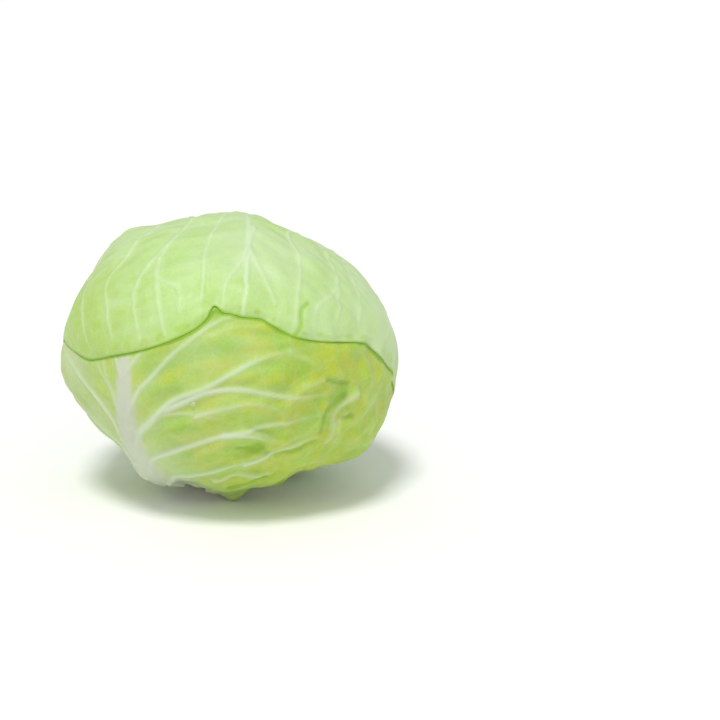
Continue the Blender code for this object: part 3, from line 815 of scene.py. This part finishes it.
# %% [markdown]
# ## The cut stem
#
# The stem is a short woody plug. Its cut face shows pale pith, a ring of darker bundles that carried
# water to the leaves, and a fibrous rind. A plain cylinder would miss the worn rim and the slight
# hollow of the cut, so the plug is a profile turned on its axis. The bundles repeat, so Geometry
# Nodes set them round their ring.

# %% The turned plug
STEM_CUT = 0.0742  # from the head's middle to the cut face
STEM_TURNS = 96
under = direction(0, np.linspace(0, 25, 26))
stem_top = float(np.max(-under[:, 2] * shell_under_leaves(under))) + JOINT_GAP + 0.0002
stem_length = STEM_CUT - stem_top
stem_profile = (  # distance from the axis as a share, then depth from the head's middle
    (0.0, stem_top), (0.9, stem_top), (0.99, stem_top + 0.0007), (0.97, stem_top + 0.40 * stem_length),
    (0.99, stem_top + 0.70 * stem_length), (1, STEM_CUT - 0.0012), (0.985, STEM_CUT - 0.0005),
    (0.95, STEM_CUT - 0.0001), (0.80, STEM_CUT - 0.0003), (0.62, STEM_CUT - 0.0001),
    (0.30, STEM_CUT - 0.0004), (0.0, STEM_CUT - 0.0005),
)
print("stem length, mm", round(1000 * stem_length, 1))


# %% Turning it
def stem_ring(form, out, depth_down):
    """One ring of the turned profile, or one point where it meets the axis."""
    if not out:
        return [form.verts.new((0, 0, -depth_down))]
    turns = np.linspace(0, 2 * math.pi, STEM_TURNS, endpoint=False)
    return [form.verts.new((out * math.cos(a), out * math.sin(a), -depth_down)) for a in turns]


form = bmesh.new()
last = None
for share, depth_down in stem_profile:
    ring = stem_ring(form, share * STEM_RADIUS, depth_down)
    if last and len(last) > 1 and len(ring) > 1:
        for k in range(STEM_TURNS):
            form.faces.new((last[k], last[k - 1], ring[k - 1], ring[k]))
    elif last:
        hub, rim = (last[0], ring) if len(last) == 1 else (ring[0], last)
        for k in range(STEM_TURNS):
            form.faces.new((hub, rim[k], rim[k - 1]) if hub is last[0] else (hub, rim[k - 1], rim[k]))
    last = ring
bmesh.ops.recalc_face_normals(form, faces=form.faces)
stem_mesh = bpy.data.meshes.new("stem_plug")
form.to_mesh(stem_mesh)
form.free()
print("stem faces", len(stem_mesh.polygons))

# %% Bundles round the ring
bundle_tree, start, end = new_tree("bundles of the stem", (
    ("Bundles", "Int", 26), ("Ring radius", "Float", 0.66 * STEM_RADIUS), ("Size", "Float", 0.0007),
    ("Depth", "Float", STEM_CUT), ("Seed", "Int", 5), ("Material", "Material", None),
))
circle = {"Vertices": start["Bundles"], "Radius": start["Ring radius"]}
ring = node(bundle_tree, "GeometryNodeMeshCircle", circle).outputs["Mesh"]
down = link_math(bundle_tree, "MULTIPLY", start["Depth"], -1.0)
below = node(bundle_tree, "ShaderNodeCombineXYZ", {"Z": down}).outputs[0]
lower = node(bundle_tree, "GeometryNodeTransform", {"Geometry": ring, "Translation": below}).outputs[0]
bead = node(bundle_tree, "GeometryNodeMeshIcoSphere", {"Subdivisions": 2, "Radius": start["Size"]}).outputs[0]
flat = node(bundle_tree, "GeometryNodeTransform", {"Geometry": bead, "Scale": (1.0, 0.7, 0.35)}).outputs[0]
sizes = {"Seed": start["Seed"], "Min": 0.6, "Max": 1.3}
uneven = node(bundle_tree, "FunctionNodeRandomValue", sizes, data_type="FLOAT").outputs["Value"]
planting = {"Points": lower, "Instance": flat, "Scale": uneven}
plant = node(bundle_tree, "GeometryNodeInstanceOnPoints", planting).outputs["Instances"]
both = node(bundle_tree, "GeometryNodeJoinGeometry", {"Geometry": start["Geometry"]})
bundle_tree.links.new(plant, both.inputs["Geometry"])
close_tree(bundle_tree, both.outputs["Geometry"], start["Material"], end)

# %% [markdown]
# ## Leaf skin
#
# A cabbage leaf is waxy: satin, a little translucent, green where the blade is full and nearly
# white along its ribs. A painted image would need unwrapping and fixes its own sharpness. So the
# material mixes its colours by the masks kept on the points, breaks the green with soft patches, and
# raises a fine net of the smallest veins.


# %% Helpers for materials
def new_skin(name):
    """A new material, its node tree and its Principled BSDF."""
    skin = bpy.data.materials.new(name)
    skin.use_nodes = True
    return skin, skin.node_tree, skin.node_tree.nodes["Principled BSDF"]


def mask_of(tree, attribute):
    """A mask kept on the points, as a socket."""
    return node(tree, "ShaderNodeAttribute", attribute_name=attribute).outputs["Fac"]


def spread(tree, value, low, high, to_low=0.0, to_high=1.0):
    """Maps the stretch from low to high smoothly onto another."""
    inputs = {"Value": value, "From Min": low, "From Max": high, "To Min": to_low, "To Max": to_high}
    return node(tree, "ShaderNodeMapRange", inputs, interpolation_type="SMOOTHSTEP").outputs["Result"]


def blend(tree, share, first, second):
    """The first colour with this share of the second over it. Each is a tuple or a socket."""
    first, second = ((*c, 1) if isinstance(c, tuple) else c for c in (first, second))
    return node(tree, "ShaderNodeMix", {"Factor": share, 6: first, 7: second}, data_type="RGBA").outputs[2]


# %% A material for leaves
def leaf_skin(name, blade, deep, warm, pale, rib, edge, patch, vein_share, roughness):
    """Six colours in layers. The later ones lie on top."""
    skin, tree, shader = new_skin(name)
    where = node(tree, "ShaderNodeTexCoord").outputs["Object"]
    broad, fine = (
        node(tree, "ShaderNodeTexNoise",
             {"Vector": where, "Scale": scale, "Detail": detail, "Roughness": rough}).outputs["Fac"]
        for scale, detail, rough in ((22, 3.0, 0.55), (120, 4.0, 0.6))
    )
    cells, branches = (
        node(tree, "ShaderNodeTexVoronoi", {"Vector": where, "Scale": scale, "Detail": detail},
             feature="DISTANCE_TO_EDGE").outputs["Distance"]
        for scale, detail in ((380, 0.0), (85, 1.0))
    )
    colour = blend(tree, spread(tree, broad, 0.34, 0.68), deep, blade)
    for value, low, high, to_low, to_high, tint in (
        (mask_of(tree, "warm"), 0.0, 1.0, 0, 0.8, warm),
        (fine, 0.45, 0.65, 0, patch, deep),
        (mask_of(tree, "halo"), 0.0, 1.0, 0, 0.20, pale),
        (branches, 0.0, 0.09, 0.08, 0, pale),
        # Paler near the base, the leaf's own colour. The paler folds of the front leaf are partly painted
        # highlight, and the paler upper right of the cap leaf is painted light.
        (mask_of(tree, "root"), 0.0, 1.0, 0, 0.75, pale),
        (cells, 0.0, 0.12, 0.10, 0, pale),
        # Painted shade in creases and cracks.
        (mask_of(tree, "dent"), 0.05, 0.9, 0, 0.6, edge),
        (mask_of(tree, "vein"), 0.0, 0.9, 0, vein_share, pale),
        (mask_of(tree, "rib"), 0.1, 0.9, 0, 1, rib),
        # Darker green along the margins: partly their own colour, partly painted shade under the edges.
        (mask_of(tree, "edge"), 0.25, 0.9, 0, 0.75, edge),
        # Painted shade in the gap under the cap leaf's edge.
        (mask_of(tree, "rim"), 0.1, 0.8, 0, 0.95, edge),
    ):
        colour = blend(tree, spread(tree, value, low, high, to_low, to_high), colour, tint)
    net = spread(tree, cells, 0.0, 0.2, 1, 0)
    raised = node(tree, "ShaderNodeBump", {"Strength": 0.12, "Distance": 0.0004, "Height": net})
    grain = node(tree, "ShaderNodeBump", {
        "Strength": 0.3, "Distance": 0.0008, "Height": fine, "Normal": raised.outputs["Normal"],
    })
    set_inputs(tree, shader, {
        "Base Color": colour,
        "Roughness": spread(tree, fine, 0.3, 0.7, roughness - 0.06, roughness + 0.1),
        "Normal": grain.outputs["Normal"],
        "Subsurface Weight": 0.15,
        "Subsurface Radius": (0.8, 1.0, 0.35),
        "Subsurface Scale": 0.004,
        "Coat Weight": 0.06,
        "Coat Roughness": 0.3,
        "Sheen Weight": 0.1,
        "Sheen Roughness": 0.6,
    })
    print(len(tree.nodes), "nodes in", name)
    return skin


# %% The leaves' colours
# Each edge colour is the dark green of painted shade in creases, along margins and under the cap leaf's edge.
cap_skin = leaf_skin(
    "cap leaf skin", blade=(0.53, 0.72, 0.34), deep=(0.44, 0.67, 0.20), warm=(0.37, 0.57, 0.05),
    pale=(0.66, 0.80, 0.53), rib=(0.62, 0.70, 0.48), edge=(0.29, 0.52, 0.01),
    patch=0.3, vein_share=0.65, roughness=0.56,
)
front_skin = leaf_skin(
    "front leaf skin", blade=(0.42, 0.60, 0.06), deep=(0.30, 0.51, 0.03), warm=(0.46, 0.54, 0.02),
    pale=(0.60, 0.70, 0.50), rib=(0.56, 0.61, 0.45), edge=(0.21, 0.43, 0.004),
    patch=0.4, vein_share=0.88, roughness=0.5,
)
inner_skin = leaf_skin(
    "inner leaf skin", blade=(0.52, 0.66, 0.26), deep=(0.42, 0.60, 0.16), warm=(0.50, 0.62, 0.14),
    pale=(0.64, 0.72, 0.45), rib=(0.62, 0.66, 0.50), edge=(0.40, 0.54, 0.10),
    patch=0.3, vein_share=0.85, roughness=0.46,
)
cap_piece.data.materials.append(cap_skin)
front_piece.data.materials.append(front_skin)
for piece in inner_pieces.values():
    piece.data.materials.append(inner_skin)

# %% Skins of the heart and the stem
def spotted(name, colours, mask, low, high, scale, roughness):
    """A matte material: two colours in soft spots, and a third where a kept mask says."""
    skin, tree, shader = new_skin(name)
    where = node(tree, "ShaderNodeTexCoord").outputs["Object"]
    noise = node(tree, "ShaderNodeTexNoise", {"Vector": where, "Scale": scale}).outputs["Fac"]
    third = {"Value": mask_of(tree, mask), "From Min": low, "From Max": high}
    third_share = node(tree, "ShaderNodeMapRange", third).outputs["Result"]
    raised = node(tree, "ShaderNodeBump", {"Strength": 0.4, "Distance": 0.0006, "Height": noise})
    set_inputs(tree, shader, {
        "Base Color": blend(tree, third_share, blend(tree, noise, colours[0], colours[1]), colours[2]),
        "Roughness": roughness,
        "Normal": raised.outputs["Normal"],
    })
    return skin


heart_skin = spotted(
    "heart skin", ((0.66, 0.76, 0.34), (0.74, 0.80, 0.46), (0.84, 0.86, 0.62)),
    mask="lap", low=0.7, high=1.0, scale=60, roughness=0.5,
)
stem_skin = spotted(
    "stem pith", ((0.62, 0.62, 0.42), (0.74, 0.74, 0.56), (0.42, 0.46, 0.22)),
    mask="rind", low=0.55, high=0.95, scale=420, roughness=0.75,
)
print("skins:", heart_skin.name, "and", stem_skin.name)

# %% The two trees, run
heart_piece = run_tree("heart_body", heart_mesh, wrap_tree, heart_skin)
heart_piece.data.shade_smooth()
stem_piece = run_tree("stem_plug", stem_mesh, bundle_tree, stem_skin)

# %% The stem's rind, and its place
stem_points = np.zeros(3 * len(stem_piece.data.vertices))
stem_piece.data.vertices.foreach_get("co", stem_points)
stem_points = stem_points.reshape(-1, 3)
out = np.hypot(stem_points[:, 0], stem_points[:, 1]) / STEM_RADIUS
bundle = bell(out - 0.66, 0.07) * (stem_points[:, 2] < 0.0001 - STEM_CUT)
keep_values(stem_piece.data, "rind", np.maximum(smooth_step(out, 0.84, 0.99), bundle))
stem_piece.data.vertices.foreach_set("co", to_world(stem_points).ravel())
stem_piece.data.set_sharp_from_angle(angle=math.radians(35))
print("stem points", len(stem_points))

# %% [markdown]
# ## A drop of water
#
# One drop sits on the waxy front leaf. Water beads there, so it is a low dome with a round foot. It
# could be a scaled ball, but a turned profile keeps its foot flush with the leaf.


# %% The drop
def turned_drop(name, place, width, height, rings=10, turns=32):
    way = direction(*place)
    reach = shell(way[None], 1)[0] + front_height(way[None])[0][0]
    foot, outwards = to_world(way * reach), TURN @ way
    across_drop = unit(np.cross(outwards, [0, 0, 1.0]))
    other = np.cross(outwards, across_drop)
    points, faces = [foot - 0.0003 * outwards, foot + height * outwards], []
    for k in range(rings):
        bend = math.pi / 2 * k / rings
        rise = height * math.sin(bend) ** 0.9 if k else -0.0003
        for turn in np.linspace(0, 2 * math.pi, turns, endpoint=False):
            radial = math.cos(turn) * across_drop + math.sin(turn) * other
            points.append(foot + 0.5 * width * math.cos(bend) * radial + rise * outwards)
    for k in range(turns):
        after = (k + 1) % turns
        faces += [(0, 2 + after, 2 + k), (1, 2 + (rings - 1) * turns + k, 2 + (rings - 1) * turns + after)]
        for ring in range(rings - 1):
            low = 2 + ring * turns
            faces.append((low + k, low + after, low + turns + after, low + turns + k))
    mesh = bpy.data.meshes.new(name)
    mesh.from_pydata([tuple(p) for p in points], [], faces)
    mesh.shade_smooth()
    print(name, "triangles", triangle_count(mesh))
    return add_object(name, mesh)


drop_piece = turned_drop("water_drop", (-6, 76), 0.0034, 0.0012)

# %% Water
water, water_tree, wet = new_skin("water")
where = node(water_tree, "ShaderNodeTexCoord").outputs["Object"]
dust = node(water_tree, "ShaderNodeTexNoise", {"Vector": where, "Scale": 900}).outputs["Fac"]
dust_range = {"Value": dust, "To Min": 0.0, "To Max": 0.06}
dull = node(water_tree, "ShaderNodeMapRange", dust_range).outputs["Result"]
# Painted highlight: the drop is pale and half clear instead of refracting, standing in for the light it
# gathers.
set_inputs(water_tree, wet, {
    "Base Color": (0.72, 0.80, 0.52, 1), "Alpha": 0.45, "IOR": 1.33, "Roughness": dull,
})
drop_piece.data.materials.append(water)
print(len(water_tree.nodes), "nodes in water")

# %% The drop rides on the head
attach(drop_piece, "root")

# %% Each leaf stands for its CAD node
for name, piece, slot in (
    ("cap_leaf", cap_piece, "cap_leaf"), ("front_leaf", front_piece, "leaf"),
    *((name, piece, "leaf") for name, piece in inner_pieces.items()),
    ("heart", heart_piece, "heart"), ("stem", stem_piece, "stem"),
):
    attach(piece, "root")
    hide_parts(name)
    print(piece.name, "stands for", name)

# %% [markdown]
# ## Floor, light and camera
#
# In the photo the head is evenly lit and seen from a little above. A pale floor grounds it. Small
# lamps would give hard shadows between the veins, so one broad sun stands high at the front, a much
# softer one fills from below it, and the world is white. A long lens keeps the head from bulging,
# and looks down by 15 degrees.

# %% Floor
FLOOR = 60  # so far to each side that no edge shows
corners = [(-FLOOR, -FLOOR, 0), (FLOOR, -FLOOR, 0), (FLOOR, FLOOR, 0), (-FLOOR, FLOOR, 0)]
floor_mesh = bpy.data.meshes.new("floor")
floor_mesh.from_pydata(corners, [], [(0, 1, 2, 3)])
floor = add_object("floor", floor_mesh)
paper, paper_tree, dry = new_skin("white paper")
set_inputs(paper_tree, dry, {"Base Color": (0.97, 0.97, 0.97, 1), "Roughness": 0.9})
floor.data.materials.append(paper)
print("floor, m", 2 * FLOOR, "across")

# %% Lights
SUNS = (("key", (-0.12, -0.42, 1.0), 16, 1.75), ("front", (0.15, -1.0, 0.6), 80, 0.55))
world = bpy.data.worlds.new("studio")
bpy.context.scene.world = world
world.use_nodes = True
set_inputs(world.node_tree, world.node_tree.nodes["Background"], {"Color": (1, 1, 1, 1), "Strength": 0.48})
for name, place, softness, power in SUNS:
    light = bpy.data.lights.new(name, "SUN")
    light.angle = math.radians(softness)
    light.energy = power
    lamp = add_object(name, light)
    lamp.rotation_euler = (-Vector(place)).to_track_quat("-Z", "Y").to_euler()
    print(name, "sun, degrees across", softness, "strength", power)
bpy.context.scene.view_settings.view_transform = "Standard"

# %% Camera
PITCH = math.radians(15)
DISTANCE = 0.95
RIGHT_OF_HEAD, BELOW_HEAD = 0.0732, 0.00335  # where it aims: the head stands left in the photo
side, up = Vector((1, 0, 0)), Vector((0, math.sin(PITCH), math.cos(PITCH)))
back = Vector((0, -math.cos(PITCH), math.sin(PITCH)))
lens = bpy.data.cameras.new("camera")
lens.lens, lens.sensor_width = 85, 36
camera = add_object("camera", lens)
camera.location = Vector(CENTRE) + RIGHT_OF_HEAD * side - BELOW_HEAD * up + DISTANCE * back
camera.rotation_euler = Euler((math.radians(90) - PITCH, 0, 0))
bpy.context.scene.camera = camera
print("camera at, m", [round(x, 3) for x in camera.location])
